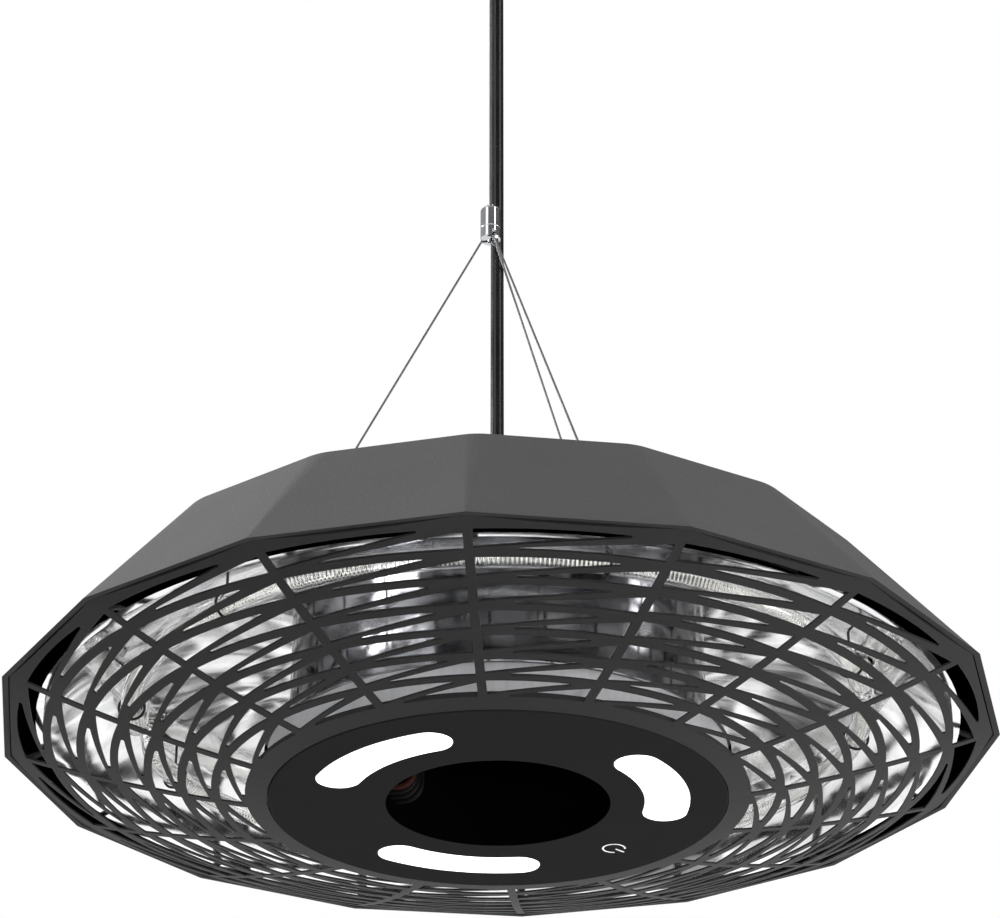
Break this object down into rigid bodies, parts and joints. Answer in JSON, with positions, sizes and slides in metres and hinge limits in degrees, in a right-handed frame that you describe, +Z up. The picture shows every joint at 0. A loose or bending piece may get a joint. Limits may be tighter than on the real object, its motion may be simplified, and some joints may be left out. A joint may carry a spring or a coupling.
{
  "type": "infrared ceiling heater",
  "caption": "Faceted round infrared ceiling heater with a slotted dish grille, lit control panel and quartz heating tubes, hung by a wire and bridle below a ceiling fitting.",
  "frame": {"origin": "middle of the ceiling plate's upper face, where it meets the ceiling, on the shade's axis", "axes": "+Z up along the shade's axis into the ceiling, +X through two opposite corners of the shade and both fixing holes, -Y towards the viewer of the picture"},
  "size_m": [0.6, 0.6, 0.7081],
  "materials": {
    "shade_coat": "fine-textured matte powder coat",
    "grille_coat": "satin black coat",
    "panel_plastic": "matte black moulding",
    "diffuser_plastic": "milky white",
    "board_laminate": "green circuit laminate",
    "component_plastic": "moulded",
    "polished_sheet": "bright polished",
    "plain_sheet": "satin",
    "well_coat": "dull black",
    "lead_sleeve": "sleeved silicone",
    "quartz": "clear",
    "filament_metal": "wound wire",
    "ceramic": "white ceramic",
    "steel": "plain",
    "chrome_metal": "polished",
    "cord_jacket": "dull black flex",
    "gland_plastic": "moulded black",
    "cover_coat": "fine-textured matte powder coat"
  },
  "bodies": {
    "ceiling": {"ceiling_plate": "steel", "ceiling_cover": "cover_coat", "cover_screws": "steel", "ball_socket": "steel", "cord_bush": "cord_jacket"},
    "suspension": {"hanging_wire": "steel", "wire_ball": "steel", "wire_stop": "steel", "power_cord": "cord_jacket"},
    "nozzle": {"gripper_nozzle": "chrome_metal"},
    "heater": {"shade": "shade_coat", "top_plate": "shade_coat", "grille": "grille_coat", "rim_brackets": "grille_coat", "tube_clips": "grille_coat", "control_panel": "panel_plastic", "lamp_diffusers": "diffuser_plastic", "lamp_boards": "board_laminate", "touch_board": "board_laminate", "control_board": "board_laminate", "control_relays": "component_plastic", "terminal_block": "component_plastic", "control_posts": "component_plastic", "reflector": "polished_sheet", "drum": "polished_sheet", "panel_carrier": "plain_sheet", "centre_well": "well_coat", "well_leads": "lead_sleeve", "quartz_tubes": "quartz", "filaments": "filament_metal", "tube_caps": "ceramic", "thermal_cutout": "ceramic", "support_posts": "steel", "plate_screws": "steel", "post_screws": "steel", "lug_nuts": "steel", "bridle_wires": "steel", "gripper_body": "chrome_metal", "gripper_collar": "chrome_metal", "bridle_lugs": "chrome_metal", "crimp_sleeves": "chrome_metal", "cord_relief": "cord_jacket", "cable_gland": "gland_plastic", "gland_nut": "gland_plastic"}
  },
  "joints": [
    {"name": "hang_swing", "type": "hinge", "parent": "ceiling", "child": "suspension", "pos_m": [-0.005, 0, -0.026], "axis": [0, 1, 0], "range_deg": [-10, 10]},
    {"name": "height_adjust", "type": "slide", "parent": "suspension", "child": "heater", "axis": [0, 0, 1], "range_m": [0, 0.12], "deforming": ["power_cord"]},
    {"name": "nozzle_press", "type": "slide", "parent": "heater", "child": "nozzle", "axis": [0, 0, -1], "range_m": [0, 0.0015], "stiffness_N_per_m": 800}
  ]
}
